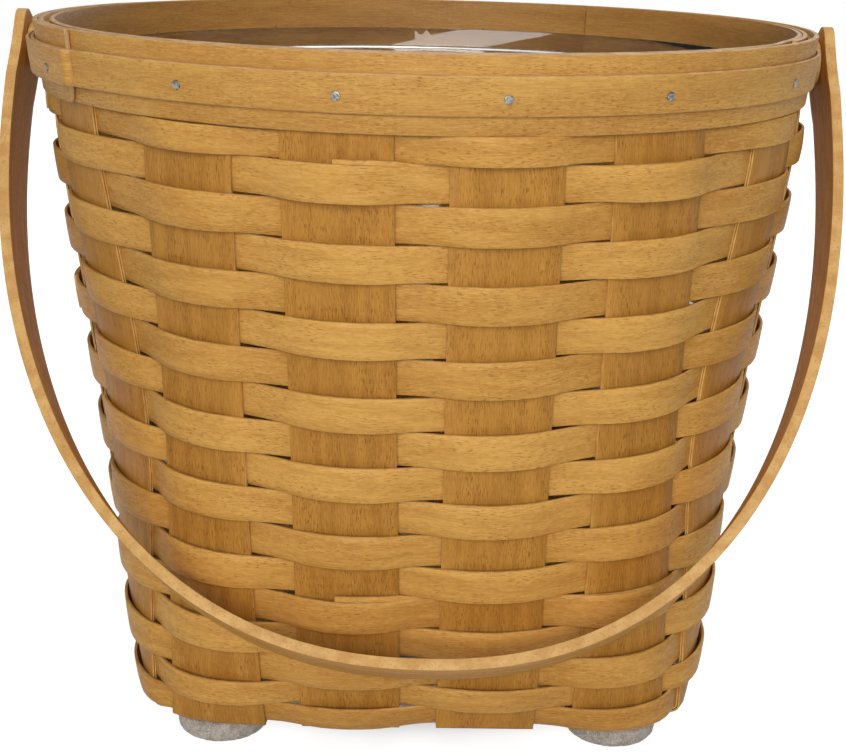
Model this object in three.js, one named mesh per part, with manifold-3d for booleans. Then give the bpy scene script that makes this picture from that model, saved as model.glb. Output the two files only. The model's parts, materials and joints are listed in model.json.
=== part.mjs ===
import * as THREE from 'three';
import { mergeVertices } from 'three/addons/utils/BufferGeometryUtils.js';
import Module from 'manifold-3d';

const wasm = await Module();
wasm.setup();

// A round-rimmed, square-based splint basket with a swing handle, a clear liner and felt feet.
// Millimetres, +Z up, front at -Y. The origin is on the floor, midway between the handle's pivots,
// so the body stands a little to the right of it, because the rim is thicker on the left.
// Heights named "height" are measured from the underside of the woven base.

// Driving dimensions of the basket
const rimDiameter = 331; // across the outer band at the top
const basketHeight = 281; // underside of the base to the top of the rim
const baseWidth = 231; // across the square base at its fold
const cornerMargin = 3.7; // from the outermost splints' edges to the crossing of their lines at a corner
const roundHeight = 133; // where the square has become a circle
const cornerBlend = 8; // over which the corners melt into that circle
const flare = 0.603; // power of the curve that the wall follows from the fold to the rim
const baseTwist = 1.57; // degrees that the base is turned against the rim

// Splints that cross in the base and stand up as stakes
const stakesPerSide = 4;
const stakeWidth = 40.4;
const stakeGap = 15.1; // between two splints in the base
const stakeThickness = 1.8;
const stakeTopDrop = 2; // stake ends below the top of the rim
const foldRise = 3; // height at which a folded splint has left the base

// Weavers
const weaverWidth = 14.5; // one row, measured up the slope of the wall
const lowWeaverWidth = 11.5; // narrower strips close the base
const lowRows = 2;
const weaverThickness = 1.3;
const weaverBow = 2.4; // it stands off the middle of a stake this much more than off its edges
const rowGap = 0.5;
const edgeMargin = 0.5; // a weaver runs on past a stake's edge before it crosses over

// Rim
const bandHeight = 27.6;
const bandThickness = 2.0;
const trimHeight = 13.8;
const trimDrop = 6.9; // top of the rim to the top of the trim strip
const trimThickness = 1.6;
const bandLap = [-111, -55.5]; // degrees from the front, where the outer band lies double
const trimLap = [-106, -54]; // where the trim strip lies double
const innerLap = [64, 108]; // where the inner band lies double, on its inside
const lapRamp = 9; // degrees over which a strip steps onto its own end
const stripStep = 5; // degrees between the corners of a rim strip

// Nails, one at each stake
const nailHeadDiameter = 3.4;
const nailHeadThickness = 0.7;
const nailDiameter = 1.5;
const nailTip = 0.8; // the tip stands this far inside the inner band

// Swing handle
const handleWidth = 30;
const handleThickness = 4.4;
const handleReach = 267; // from the pivot down to the middle of the bottom
const handleStraight = 22; // pivot to where the loop starts to curve
const handleCurve = 2.27; // power of the superellipse that the loop follows
const handleEnd = 12; // leg beyond the pivot
const handleCorner = 4; // clipped corners of the leg ends
const handleBow = 0.8; // each leg stands out this much more at the start of the curve
const handleLean = 6.6; // the bottom of the loop hangs this far to the right
const pivotDrop = 0.8; // pivot below the middle of the trim strip
const spacerDiameter = 20;
const spacerThickness = 3.0;
const rivetDiameter = 5;
const rivetHeadDiameter = 11;
const rivetHeadThickness = 1.2;

// Liner
const linerThickness = 1.2;
const linerDrop = 14; // top of the rim to the top of the liner
const linerLip = 2.4; // the lip stands out this far from the tub's wall
const linerLipHeight = 10;
const linerSlope = 4.2; // rise and inset of the slope round the tub's floor

// Felt feet
const footDiameter = 39;
const footHeight = 9;
const footInset = 20; // from the front or back of the base to the middle of a foot

// Clearances
const seat = 0.3; // between faces that rest on each other
const holeClearance = 0.3; // round a nail or rivet
const wovenClearance = 0.9; // between a stake and the weaver that crosses it
const rimClearance = 0.4; // between a stake and a rim band
const linerClearance = 0.8; // between the liner and what it slides past
const linerEase = 1.8; // more of it lower down, where the tub's wall is nearly square
const handleEase = 1.2; // between the resting handle and the proudest weavers

// Sizes that follow from these
const radians = Math.PI / 180;
const quarterTurn = 90;
const rimReach = rimDiameter / 2 - bandThickness - rimClearance - stakeThickness / 2;
const weaveOffset = (stakeThickness + weaverThickness) / 2 + wovenClearance;
const plaitOffset = (stakeThickness + seat) / 2;
const baseMiddle = plaitOffset + stakeThickness / 2;
const baseZ = footHeight + seat;
const rowsStart = foldRise + stakeThickness / 2 + seat;
const bandBottom = basketHeight - bandHeight;
const trimMiddle = basketHeight - trimDrop - trimHeight / 2;
const pivotHeight = trimMiddle - pivotDrop;
const stakePitch = stakeWidth + stakeGap;
const outerStake = (stakePitch * (stakesPerSide - 1)) / 2;
const cornerReach = Math.SQRT2 * (outerStake + stakeWidth / 2 + cornerMargin);
const stakeOffsets = Array.from({ length: stakesPerSide }, (_, i) => i * stakePitch - outerStake);

// Wall shape: the reach of a side's middle, the reach of a corner, and the superellipse between them
function sideReach(height) {
  const rise = Math.max(height, 0) / basketHeight;
  return baseWidth / 2 + (rimReach - baseWidth / 2) * rise ** flare;
}

function sectionPower(height) {
  const side = sideReach(height);
  const straight = cornerReach + ((sideReach(roundHeight) - cornerReach) * height) / roundHeight;
  const near = Math.max(cornerBlend - Math.abs(straight - side), 0);
  const corner = Math.max(side, straight) + near ** 2 / (4 * cornerBlend);
  return 1 / (0.5 - Math.log2(Math.min(corner / side, 1.4)));
}

// A level section of the wall, as corners every half degree and the length along it to each
const sections = new Map();
function wallSection(height) {
  if (sections.has(height)) return sections.get(height);
  const side = sideReach(height);
  const power = sectionPower(height);
  const steps = 720;
  const points = [];
  const lengths = [0];
  for (let i = 0; i <= steps; i++) {
    const angle = -Math.PI + (2 * Math.PI * i) / steps;
    const across = Math.sin(angle);
    const along = -Math.cos(angle);
    const reach = side / (Math.abs(across) ** power + Math.abs(along) ** power) ** (1 / power);
    points.push(new THREE.Vector2(reach * across, reach * along));
    if (i) lengths.push(lengths[i - 1] + points[i].distanceTo(points[i - 1]));
  }
  const section = { points, lengths, steps };
  sections.set(height, section);
  return section;
}

function pointAtLength(section, length) {
  const { points, lengths, steps } = section;
  const total = lengths[steps];
  const wrapped = ((length % total) + total) % total;
  let low = 0;
  let high = steps;
  while (high - low > 1) {
    const middle = (low + high) >> 1;
    if (lengths[middle] > wrapped) high = middle;
    else low = middle;
  }
  const share = (wrapped - lengths[low]) / (lengths[high] - lengths[low]);
  return points[low].clone().lerp(points[high], share);
}

function lengthAtAngle(section, degrees) {
  const place = ((degrees + 180) / 360) * section.steps;
  const low = Math.floor(place);
  const share = place - low;
  return section.lengths[low] * (1 - share) + section.lengths[Math.min(low + 1, section.steps)] * share;
}

// The base is turned a little against the rim, and the turn fades out with height
function twisted(point, height) {
  const turn = baseTwist * radians * (1 - Math.min(Math.max(height, 0) / basketHeight, 1));
  const flat = new THREE.Vector2(point.x, point.y).rotateAround(new THREE.Vector2(), turn);
  return new THREE.Vector3(flat.x, flat.y, height);
}

// A stake stands in a vertical plane. Side 0 is the front, 1 the right, 2 the back, 3 the left
function stakeAngle(side, offset, height) {
  const reach = sideReach(height);
  const power = sectionPower(height);
  const away = reach * (1 - Math.abs(offset / reach) ** power) ** (1 / power);
  const angle = Math.atan2(offset, away) / radians + quarterTurn * side;
  return angle > 180 ? angle - 360 : angle;
}

// A point of the wall's middle surface, at a distance along the wall from the middle of a stake
function wallPoint(side, offset, height, along, out = 0) {
  const section = wallSection(height);
  const middle = lengthAtAngle(section, stakeAngle(side, offset, height));
  const point = pointAtLength(section, middle + along);
  if (out) {
    const before = pointAtLength(section, middle + along - 1);
    const after = pointAtLength(section, middle + along + 1);
    const tangent = after.sub(before).normalize();
    point.add(new THREE.Vector2(tangent.y, -tangent.x).multiplyScalar(out));
  }
  return twisted(point, height);
}

// Closed body of a bent strip: a grid of points on its middle surface, given a thickness
function stripBody(grid, thickness, closed = false) {
  const rows = grid.length;
  const columns = grid[0].length;
  const normal = (i, j) => {
    const across = grid[i][Math.min(j + 1, columns - 1)].clone().sub(grid[i][Math.max(j - 1, 0)]);
    const behind = closed || i > 0 ? grid[(i - 1 + rows) % rows][j] : null;
    const ahead = closed || i < rows - 1 ? grid[(i + 1) % rows][j] : null;
    const first = behind && grid[i][j].clone().sub(behind).cross(across).normalize();
    const second = ahead && ahead.clone().sub(grid[i][j]).cross(across).normalize();
    if (!first) return second;
    if (!second) return first;
    return first.clone().add(second).multiplyScalar(1 / (1 + first.dot(second)));
  };
  const positions = [];
  for (let i = 0; i < rows; i++) {
    for (let j = 0; j < columns; j++) {
      const half = normal(i, j).multiplyScalar(thickness / 2);
      positions.push(...grid[i][j].clone().add(half).toArray());
      positions.push(...grid[i][j].clone().sub(half).toArray());
    }
  }
  const outer = (i, j) => 2 * ((i % rows) * columns + j);
  const inner = (i, j) => outer(i, j) + 1;
  const faces = [];
  const quad = (a, b, c, d) => faces.push(a, b, c, a, c, d);
  const spans = closed ? rows : rows - 1;
  for (let i = 0; i < spans; i++) {
    for (let j = 0; j < columns - 1; j++) {
      quad(outer(i, j), outer(i + 1, j), outer(i + 1, j + 1), outer(i, j + 1));
      quad(inner(i, j), inner(i, j + 1), inner(i + 1, j + 1), inner(i + 1, j));
    }
    quad(outer(i, 0), inner(i, 0), inner(i + 1, 0), outer(i + 1, 0));
    const last = columns - 1;
    quad(outer(i, last), outer(i + 1, last), inner(i + 1, last), inner(i, last));
  }
  if (!closed) {
    for (let j = 0; j < columns - 1; j++) {
      quad(outer(0, j), outer(0, j + 1), inner(0, j + 1), inner(0, j));
      const end = rows - 1;
      quad(outer(end, j), inner(end, j), inner(end, j + 1), outer(end, j + 1));
    }
  }
  const geometry = new THREE.BufferGeometry();
  geometry.setAttribute('position', new THREE.Float32BufferAttribute(positions, 3));
  geometry.setIndex(faces);
  return facingOut(geometry);
}

function facingOut(geometry) {
  const place = geometry.attributes.position;
  const index = geometry.index.array;
  const corner = (k) => new THREE.Vector3().fromBufferAttribute(place, index[k]);
  let volume = 0;
  for (let k = 0; k < index.length; k += 3) {
    volume += corner(k).dot(corner(k + 1).cross(corner(k + 2)));
  }
  if (volume < 0) {
    for (let k = 0; k < index.length; k += 3) {
      [index[k + 1], index[k + 2]] = [index[k + 2], index[k + 1]];
    }
  }
  return geometry;
}

// Boolean cuts
function solidOf(geometry) {
  const bare = new THREE.BufferGeometry();
  bare.setAttribute('position', geometry.attributes.position.clone());
  if (geometry.index) bare.setIndex(Array.from(geometry.index.array));
  const merged = mergeVertices(bare, 1e-4);
  return new wasm.Manifold(new wasm.Mesh({
    numProp: 3,
    vertProperties: new Float32Array(merged.attributes.position.array),
    triVerts: new Uint32Array(merged.index.array),
  }));
}

function withHoles(geometry, cutters) {
  let solid = solidOf(geometry);
  for (const cutter of cutters) solid = solid.subtract(solidOf(cutter));
  const cut = solid.getMesh();
  const result = new THREE.BufferGeometry();
  result.setAttribute('position', new THREE.Float32BufferAttribute(cut.vertProperties, 3));
  result.setIndex(Array.from(cut.triVerts));
  return result;
}

// A turned piece along its own +Y, given as radius and distance pairs, pointed along a direction
function turned(profile, sides, origin, direction) {
  const points = profile.map(([radius, along]) => new THREE.Vector2(radius, along));
  const geometry = new THREE.LatheGeometry(points, sides);
  const turn = new THREE.Quaternion().setFromUnitVectors(new THREE.Vector3(0, 1, 0), direction);
  geometry.applyQuaternion(turn);
  geometry.translate(origin.x, origin.y, origin.z);
  return geometry;
}

// Weaver rows are laid off up the slope of the wall, and the last one takes what is left
function rowEdges() {
  const step = 0.25;
  const lengths = [0];
  for (let height = rowsStart; height < bandBottom; height += step) {
    const slope = (sideReach(height + step) - sideReach(height)) / step;
    lengths.push(lengths[lengths.length - 1] + step * Math.hypot(1, slope));
  }
  const above = lengths[lengths.length - 1] - lowRows * lowWeaverWidth;
  const rows = lowRows + Math.round(above / weaverWidth);
  const edges = [];
  for (let row = 0; row < rows; row++) {
    const low = Math.min(row, lowRows);
    const length = low * lowWeaverWidth + (row - low) * weaverWidth;
    edges.push(rowsStart + step * lengths.findIndex((reached) => reached >= length));
  }
  edges.push(bandBottom);
  return edges;
}

const edges = rowEdges();
const sides = [0, 1, 2, 3];

function weaverGeometry(row) {
  const low = edges[row] + rowGap / 2;
  const high = edges[row + 1] - rowGap / 2;
  const reach = stakeWidth / 2 + edgeMargin;
  const grid = [];
  for (const side of sides) {
    stakeOffsets.forEach((offset, stake) => {
      const outside = (row + stake + side * stakesPerSide) % 2 === 1;
      const edge = outside ? weaveOffset : -weaveOffset;
      const middle = outside ? weaveOffset + weaverBow : -weaveOffset;
      for (const [along, out] of [[-reach, edge], [0, middle], [reach, edge]]) {
        grid.push([low, high].map((height) => wallPoint(side, offset, height, along, out)));
      }
    });
  }
  return stripBody(grid, weaverThickness, true);
}

// A splint runs down one side, across the base and up the opposite side
const stakeTop = basketHeight - stakeTopDrop;
function stakeLevels() {
  const levels = edges.filter((edge, i) => (i > 0 && i < 4) || i % 2 === 0 || i === edges.length - 1);
  return [foldRise, ...levels, stakeTop];
}

function splintGrid(side, lane) {
  const offset = stakeOffsets[lane];
  const alongs = [-stakeWidth / 2, 0, stakeWidth / 2];
  const upright = (which, shift, mirrored) => stakeLevels().map((height) =>
    alongs.map((along) => wallPoint(which, shift, height, mirrored ? -along : along)));
  const front = upright(side, offset, false);
  const back = upright(side + 2, -offset, true);
  const turn = side * quarterTurn * radians;
  const basePoint = (across, forward, height) => {
    const flat = new THREE.Vector2(across, -forward).rotateAround(new THREE.Vector2(), turn);
    return twisted(flat, height);
  };
  const floor = [];
  for (const crossing of [...stakeOffsets].reverse()) {
    const place = stakeOffsets.indexOf(crossing);
    const other = side === 0 ? stakesPerSide - 1 - place : place;
    const over = (lane + other + side) % 2 === 0;
    const height = baseMiddle + (over ? plaitOffset : -plaitOffset);
    for (const edge of [stakeWidth / 2 + edgeMargin, -stakeWidth / 2 - edgeMargin]) {
      floor.push(alongs.map((along) => basePoint(offset + along, crossing + edge, height)));
    }
  }
  const fold = (lowest, forward) => alongs.map((along, j) => {
    const flat = new THREE.Vector2(lowest[j].x, lowest[j].y);
    flat.rotateAround(new THREE.Vector2(), -turn - baseTwist * radians);
    return basePoint(offset + along, forward * (Math.abs(flat.y) - foldRise), baseMiddle);
  });
  const down = [...front].reverse();
  return [...down, fold(front[0], 1), ...floor, fold(back[0], -1), ...back];
}

function nailAxis(side, offset) {
  const rise = 1;
  const point = wallPoint(side, offset, trimMiddle, 0);
  const above = wallPoint(side, offset, trimMiddle + rise, 0);
  const beside = wallPoint(side, offset, trimMiddle, 1);
  const direction = beside.sub(point).cross(above.sub(point)).normalize();
  return { point, direction };
}

// Rim strips. Each runs once round and on over its own hidden end, outwards or inwards
function lifted(degrees, lap, step) {
  if (degrees < lap[0] - lapRamp || degrees > lap[1] + lapRamp) return 0;
  if (degrees < lap[0]) return (step * (degrees - lap[0] + lapRamp)) / lapRamp;
  if (degrees > lap[1]) return (step * (lap[1] + lapRamp - degrees)) / lapRamp;
  return step;
}

function rimStrip({ middle, lap, lift, low, high, thickness, under = () => 0 }) {
  const turns = [];
  const end = lap[1] + 360;
  const step = (end - lap[0]) / Math.ceil((end - lap[0]) / stripStep);
  for (let i = 0; lap[0] + i * step < end + step / 2; i++) turns.push(lap[0] + i * step);
  const rampEnd = lap[0] + 360 - 1;
  const grid = turns.map((degrees) => {
    const climbed = Math.min(Math.max((degrees - rampEnd + lapRamp) / lapRamp, 0), 1);
    const physical = degrees > 180 ? degrees - 360 : degrees;
    return [low, high].map((height) => {
      const reach = sideReach(height) + middle + under(physical) + lift * climbed;
      const angle = degrees * radians;
      return new THREE.Vector3(reach * Math.sin(angle), -reach * Math.cos(angle), height);
    });
  });
  return stripBody(grid, thickness);
}

const bandMiddle = stakeThickness / 2 + rimClearance + bandThickness / 2;
const bandLift = bandThickness + seat;
const trimLift = trimThickness + seat;
const trimOnBand = bandMiddle + bandThickness / 2 + seat + trimThickness / 2;
const overBand = (degrees) => lifted(degrees, bandLap, bandLift);

function outerBandGeometry() {
  return rimStrip({ middle: bandMiddle, lap: bandLap, lift: bandLift,
    low: bandBottom, high: basketHeight, thickness: bandThickness });
}

function innerBandGeometry() {
  return rimStrip({ middle: -bandMiddle, lap: innerLap, lift: -bandLift,
    low: bandBottom, high: basketHeight, thickness: bandThickness });
}

function trimGeometry() {
  return rimStrip({ middle: trimOnBand, lap: trimLap, lift: trimLift,
    low: basketHeight - trimDrop - trimHeight, high: basketHeight - trimDrop,
    thickness: trimThickness, under: overBand });
}

// How far the rim's outer and inner faces stand from the wall's middle surface, at an angle
function isDouble(degrees, lap) {
  return degrees > lap[0] && degrees < lap[1];
}

function outerStack(degrees) {
  const laps = overBand(degrees) + (isDouble(degrees, trimLap) ? trimLift : 0);
  return trimOnBand + trimThickness / 2 + laps;
}

function innerStack(degrees) {
  return bandMiddle + bandThickness / 2 + (isDouble(degrees, innerLap) ? bandLift : 0);
}

function nailGeometry(side, offset) {
  const { point, direction } = nailAxis(side, offset);
  const degrees = stakeAngle(side, offset, trimMiddle);
  const face = outerStack(degrees) + seat;
  const tip = -innerStack(degrees) - nailTip;
  const head = nailHeadDiameter / 2;
  const profile = [[0, tip], [nailDiameter / 2, tip + nailDiameter], [nailDiameter / 2, face],
    [head, face], [head * 0.8, face + nailHeadThickness], [0, face + nailHeadThickness]];
  return turned(profile, 6, point, direction);
}

function nailHole(side, offset) {
  const { point, direction } = nailAxis(side, offset);
  const radius = (nailDiameter / 2 + holeClearance) / Math.cos(Math.PI / 6);
  const reach = trimOnBand + bandLift + trimLift + trimThickness;
  return turned([[0, -reach], [radius, -reach], [radius, reach], [0, reach]], 6, point, direction);
}

const stakes = sides.flatMap((side) => stakeOffsets.map((offset) => ({ side, offset })));
const nailHoles = stakes.map(({ side, offset }) => nailHole(side, offset));

// Handle pivots, at the left and right of the rim
const trimReach = sideReach(basketHeight - trimDrop);
const leftFace = trimReach + outerStack(-quarterTurn) + seat;
const rightFace = trimReach + outerStack(quarterTurn) + seat;
const leftLeg = leftFace + spacerThickness + seat;
const rightLeg = rightFace + spacerThickness + seat;
const handleMiddle = (rightLeg - leftLeg) / 2;
const handleHalf = (rightLeg + leftLeg) / 2 + handleThickness / 2;
const pivotAxis = new THREE.Vector3(1, 0, 0);

function pivotCylinder(from, to, radius, count) {
  const origin = new THREE.Vector3(from, 0, pivotHeight);
  const length = to - from;
  const profile = [[0, 0], [radius, 0], [radius, length], [0, length]];
  return turned(profile, count, origin, pivotAxis);
}

function pivotHole() {
  const reach = leftLeg + rightLeg;
  return pivotCylinder(-reach, reach, rivetDiameter / 2 + holeClearance, 12);
}

function spacerGeometry(sign) {
  const face = sign < 0 ? leftFace : rightFace;
  const from = sign < 0 ? -face - spacerThickness : face;
  const disc = pivotCylinder(from, from + spacerThickness, spacerDiameter / 2, 20);
  return withHoles(disc, [pivotHole()]);
}

// The inner head clears the flats of the inner band, which leans in towards the bottom
function rivetSeat(sign) {
  const flat = (rimReach - bandMiddle) * (1 - Math.cos((stripStep / 2) * radians));
  return sideReach(pivotHeight - rivetHeadDiameter / 2) - innerStack(quarterTurn * sign) - flat - seat;
}

// A rivet runs from a head inside the rim to a low domed head outside the leg
function rivetGeometry(sign) {
  const inside = rivetSeat(sign);
  const outside = (sign < 0 ? leftLeg : rightLeg) + handleThickness + seat;
  const shank = rivetDiameter / 2;
  const head = rivetHeadDiameter / 2;
  const profile = [[0, inside - rivetHeadThickness], [head, inside - rivetHeadThickness],
    [head, inside], [shank, inside], [shank, outside], [head, outside],
    [head * 0.8, outside + rivetHeadThickness * 0.7], [0, outside + rivetHeadThickness]];
  const origin = new THREE.Vector3(0, 0, pivotHeight);
  return turned(profile, 12, origin, new THREE.Vector3(sign, 0, 0));
}

// The loop's middle line, as distances across and up from the middle of the pivot line
function handleLoop() {
  const half = handleHalf + handleBow;
  const drop = handleReach - handleStraight;
  const steps = 44;
  const loop = [];
  for (let i = 0; i <= steps; i++) {
    const angle = (Math.PI * i) / steps;
    const across = -Math.sign(Math.cos(angle)) * Math.abs(Math.cos(angle)) ** (2 / handleCurve);
    const down = handleStraight + drop * Math.max(Math.sin(angle), 0) ** (2 / handleCurve);
    loop.push([half * across + handleLean * (down / handleReach) ** 2, -down]);
  }
  return loop;
}

// The handle hangs straight down in its own frame, with the pivot line through its origin
function handleGeometry() {
  const line = [[-handleHalf, handleEnd], [-handleHalf, handleEnd - handleCorner],
    [-handleHalf, 0], ...handleLoop(), [handleHalf, 0], [handleHalf, handleEnd - handleCorner],
    [handleHalf, handleEnd]];
  const grid = line.map(([across, up], i) => {
    const clipped = i === 0 || i === line.length - 1 ? handleCorner : 0;
    const width = handleWidth / 2 - clipped;
    return [-width, width].map((forward) => new THREE.Vector3(across, forward, up));
  });
  const hole = pivotHole();
  hole.translate(0, 0, -pivotHeight);
  return withHoles(stripBody(grid, handleThickness), [hole]);
}

// The handle leans forward until the back edge of its loop meets the front weavers
function restTilt() {
  const out = weaveOffset + weaverBow + weaverThickness / 2 + handleEase;
  const clears = (tilt) => handleLoop().every(([across, up]) => {
    const x = handleMiddle + across;
    const reach = -up + handleThickness / 2;
    const forward = reach * Math.sin(tilt) - (handleWidth / 2) * Math.cos(tilt);
    const height = pivotHeight - reach * Math.cos(tilt) - (handleWidth / 2) * Math.sin(tilt);
    const side = sideReach(height) + out;
    const power = sectionPower(height);
    return Math.abs(x / side) ** power + Math.abs(forward / side) ** power > 1;
  });
  let low = 5 * radians;
  let high = 85 * radians;
  for (let i = 0; i < 30; i++) {
    const tilt = (low + high) / 2;
    if (clears(tilt)) high = tilt;
    else low = tilt;
  }
  return high;
}

// The liner is a tub that follows the wall, with a lip stepped out round its open top
function linerGeometry() {
  const floor = 2 * baseMiddle + seat;
  const top = basketHeight - linerDrop;
  const widest = rivetSeat(1) - rivetHeadThickness - linerClearance;
  const inset = weaveOffset + weaverThickness / 2 + linerClearance + linerEase;
  const wall = (height) => Math.min(sideReach(height) - inset, widest - linerLip);
  const count = 36;
  const ring = (height, reach) => {
    const power = sectionPower(height);
    return Array.from({ length: count }, (_, i) => {
      const angle = (2 * Math.PI * i) / count;
      const across = Math.sin(angle);
      const forward = -Math.cos(angle);
      const scale = (Math.abs(across) ** power + Math.abs(forward) ** power) ** (-1 / power);
      return twisted(new THREE.Vector2(reach * scale * across, reach * scale * forward), height);
    });
  };
  const higher = [0.1, 0.24, 0.5, 0.76].map((share) => floor + share * (top - floor));
  const levels = [floor, floor + linerSlope, ...higher];
  const lipLow = top - linerLipHeight;
  const ledge = lipLow + linerThickness;
  const outer = levels.map((height, i) => ring(height, wall(height) - (i === 0 ? linerSlope : 0)));
  outer.push(ring(lipLow, wall(lipLow)), ring(lipLow, widest), ring(top, widest));
  const inner = levels.map((height, i) => {
    const lift = i === 0 ? linerThickness : 0;
    const within = linerThickness + (i === 0 ? linerSlope : 0);
    return ring(height + lift, wall(height + lift) - within);
  });
  inner.push(ring(ledge, wall(lipLow) - linerThickness), ring(ledge, widest - linerThickness),
    ring(top, widest - linerThickness));
  const rings = [...outer, ...inner.reverse()];
  const positions = rings.flat().flatMap((point) => point.toArray());
  const faces = [];
  const quad = (a, b, c, d) => faces.push(a, b, c, a, c, d);
  for (let level = 0; level < rings.length - 1; level++) {
    for (let i = 0; i < count; i++) {
      const next = (i + 1) % count;
      quad(level * count + i, level * count + next, (level + 1) * count + next, (level + 1) * count + i);
    }
  }
  const under = positions.length / 3;
  positions.push(0, 0, floor, 0, 0, floor + linerThickness);
  const last = (rings.length - 1) * count;
  for (let i = 0; i < count; i++) {
    const next = (i + 1) % count;
    faces.push(under, next, i);
    faces.push(under + 1, last + i, last + next);
  }
  const geometry = new THREE.BufferGeometry();
  geometry.setAttribute('position', new THREE.Float32BufferAttribute(positions, 3));
  geometry.setIndex(faces);
  return facingOut(geometry);
}

function footGeometry() {
  const radius = footDiameter / 2;
  const soft = footHeight / 4;
  const profile = [[0, 0], [radius - soft, 0], [radius, soft], [radius, footHeight - soft],
    [radius - soft, footHeight], [0, footHeight]].map(([x, y]) => new THREE.Vector2(x, y));
  const geometry = new THREE.LatheGeometry(profile, 16);
  geometry.rotateX(Math.PI / 2);
  return geometry;
}

// Materials
const wood = (color) => new THREE.MeshStandardMaterial({ color, roughness: 0.5, metalness: 0 });
const stakeWood = wood('#a9752f');
const weaverWood = wood('#c28f45');
const rimWood = wood('#b98843');
const handleWood = wood('#d0a25c');
const steel = new THREE.MeshStandardMaterial({ color: '#9a9a98', roughness: 0.35, metalness: 1 });
const felt = new THREE.MeshStandardMaterial({ color: '#9c9188', roughness: 1, metalness: 0 });
const clear = new THREE.MeshStandardMaterial({
  color: '#eef2f2', roughness: 0.1, metalness: 0, transparent: true, opacity: 0.35,
});

const named = (name, geometry, material) => {
  const mesh = new THREE.Mesh(geometry, material);
  mesh.name = name;
  return mesh;
};
const number = (value) => String(value).padStart(2, '0');

// Assembly
const woven = new THREE.Group();
woven.position.z = baseZ;

['front_back', 'left_right'].forEach((way, side) => {
  for (let lane = 0; lane < stakesPerSide; lane++) {
    const ends = [nailHole(side, stakeOffsets[lane]), nailHole(side + 2, -stakeOffsets[lane])];
    const body = withHoles(stripBody(splintGrid(side, lane), stakeThickness), ends);
    woven.add(named(`splint_${way}_${lane + 1}`, body, stakeWood));
  }
});
for (let row = 0; row < edges.length - 1; row++) {
  woven.add(named(`weaver_${number(row + 1)}`, weaverGeometry(row), weaverWood));
}
woven.add(named('inner_band', withHoles(innerBandGeometry(), [...nailHoles, pivotHole()]), rimWood));
woven.add(named('outer_band', withHoles(outerBandGeometry(), [...nailHoles, pivotHole()]), rimWood));
woven.add(named('trim_strip', withHoles(trimGeometry(), [...nailHoles, pivotHole()]), rimWood));
stakes.forEach(({ side, offset }, i) => {
  woven.add(named(`nail_${number(i + 1)}`, nailGeometry(side, offset), steel));
});
woven.add(named('spacer_left', spacerGeometry(-1), rimWood));
woven.add(named('spacer_right', spacerGeometry(1), rimWood));
woven.add(named('rivet_left', rivetGeometry(-1), steel));
woven.add(named('rivet_right', rivetGeometry(1), steel));
woven.add(named('liner', linerGeometry(), clear));

const swing = new THREE.Group();
swing.position.set(handleMiddle, 0, pivotHeight);
swing.rotation.x = -restTilt();
swing.add(named('handle', handleGeometry(), handleWood));
woven.add(swing);

const feet = new THREE.Group();
feet.rotation.z = baseTwist * radians;
[['left', -1], ['right', 1]].forEach(([name, sign]) => {
  [['front', -1], ['back', 1]].forEach(([end, way]) => {
    const foot = named(`foot_${end}_${name}`, footGeometry(), felt);
    foot.position.set(sign * outerStake, way * (baseWidth / 2 - footInset), 0);
    feet.add(foot);
  });
});

const basket = new THREE.Group();
basket.position.x = -handleMiddle;
basket.add(woven, feet);

export default basket;
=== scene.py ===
import json
import math
import bpy
import numpy as np
from mathutils import Matrix, Vector

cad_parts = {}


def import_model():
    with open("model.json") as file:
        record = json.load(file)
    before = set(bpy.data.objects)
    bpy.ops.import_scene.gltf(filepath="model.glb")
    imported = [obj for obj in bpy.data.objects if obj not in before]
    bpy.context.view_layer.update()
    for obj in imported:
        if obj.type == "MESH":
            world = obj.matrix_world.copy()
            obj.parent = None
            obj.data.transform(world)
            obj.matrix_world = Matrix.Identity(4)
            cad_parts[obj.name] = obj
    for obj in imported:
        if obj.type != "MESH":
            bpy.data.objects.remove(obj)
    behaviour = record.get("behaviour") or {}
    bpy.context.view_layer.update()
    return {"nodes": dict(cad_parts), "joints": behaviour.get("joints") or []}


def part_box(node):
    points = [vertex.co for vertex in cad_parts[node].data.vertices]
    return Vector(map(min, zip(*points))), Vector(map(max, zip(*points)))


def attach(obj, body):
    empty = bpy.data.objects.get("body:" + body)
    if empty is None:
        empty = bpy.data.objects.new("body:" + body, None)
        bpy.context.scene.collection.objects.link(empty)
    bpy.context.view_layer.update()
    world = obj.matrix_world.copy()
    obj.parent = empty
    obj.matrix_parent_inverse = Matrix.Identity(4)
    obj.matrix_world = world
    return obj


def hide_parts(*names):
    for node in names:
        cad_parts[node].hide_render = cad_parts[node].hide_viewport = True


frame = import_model()
mm = 0.001
print("frame loaded:", len(frame["nodes"]), "nodes")


# Values shared by several pieces

def linear(hexColour):
    parts = [int(hexColour[i:i + 2], 16) / 255 for i in (1, 3, 5)]
    return tuple(c / 12.92 if c <= 0.04045 else ((c + 0.055) / 1.055) ** 2.4 for c in parts) + (1.0,)


def lowHigh(node):
    low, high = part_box(node)
    return np.array(low), np.array(high)


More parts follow.
